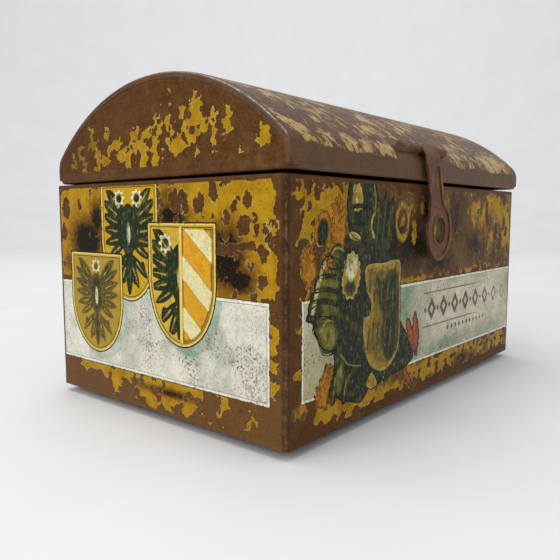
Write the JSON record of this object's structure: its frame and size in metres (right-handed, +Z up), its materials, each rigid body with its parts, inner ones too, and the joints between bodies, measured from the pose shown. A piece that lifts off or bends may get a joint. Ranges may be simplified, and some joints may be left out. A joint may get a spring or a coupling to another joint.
{
  "type": "tin money box",
  "caption": "Chest-shaped sheet-metal money box with a barrel lid, a coin slot in its crest, two back hinges and a swinging front hasp.",
  "frame": {"origin": "on the surface the box stands on, under the middle of the whole box", "axes": "+X along the box to the right end seen from the front, -Y to the front with the hasp, +Z up"},
  "size_m": [0.15, 0.1052, 0.0989],
  "materials": {
    "printed_tin": "aged lithographed tin, flaked and rusted",
    "bare_tin": "rust-browned tinplate",
    "rusty_steel": "rust-browned mild steel"
  },
  "bodies": {
    "box": {"body_wrap": "printed_tin", "base_pan": "bare_tin", "hinge_left_body_leaf": "rusty_steel", "hinge_left_pin": "rusty_steel", "hinge_right_body_leaf": "rusty_steel", "hinge_right_pin": "rusty_steel", "hinge_body_rivets": "rusty_steel"},
    "lid": {"lid_barrel": "printed_tin", "lid_end_left": "printed_tin", "lid_end_right": "printed_tin", "hinge_left_lid_leaf": "rusty_steel", "hinge_right_lid_leaf": "rusty_steel", "hinge_lid_rivets": "rusty_steel", "hasp_saddle_left": "rusty_steel", "hasp_saddle_right": "rusty_steel", "hasp_pin": "rusty_steel"},
    "hasp": {"hasp_strap": "rusty_steel"}
  },
  "joints": [
    {"name": "lid_hinge", "type": "hinge", "parent": "box", "child": "lid", "pos_m": [0, 0.051, 0.0706], "axis": [-1, 0, 0], "range_deg": [0, 100]},
    {"name": "hasp_hinge", "type": "hinge", "parent": "lid", "child": "hasp", "pos_m": [-0.006, -0.04986, 0.08042], "axis": [-1, 0, 0], "range_deg": [0, 85]}
  ]
}
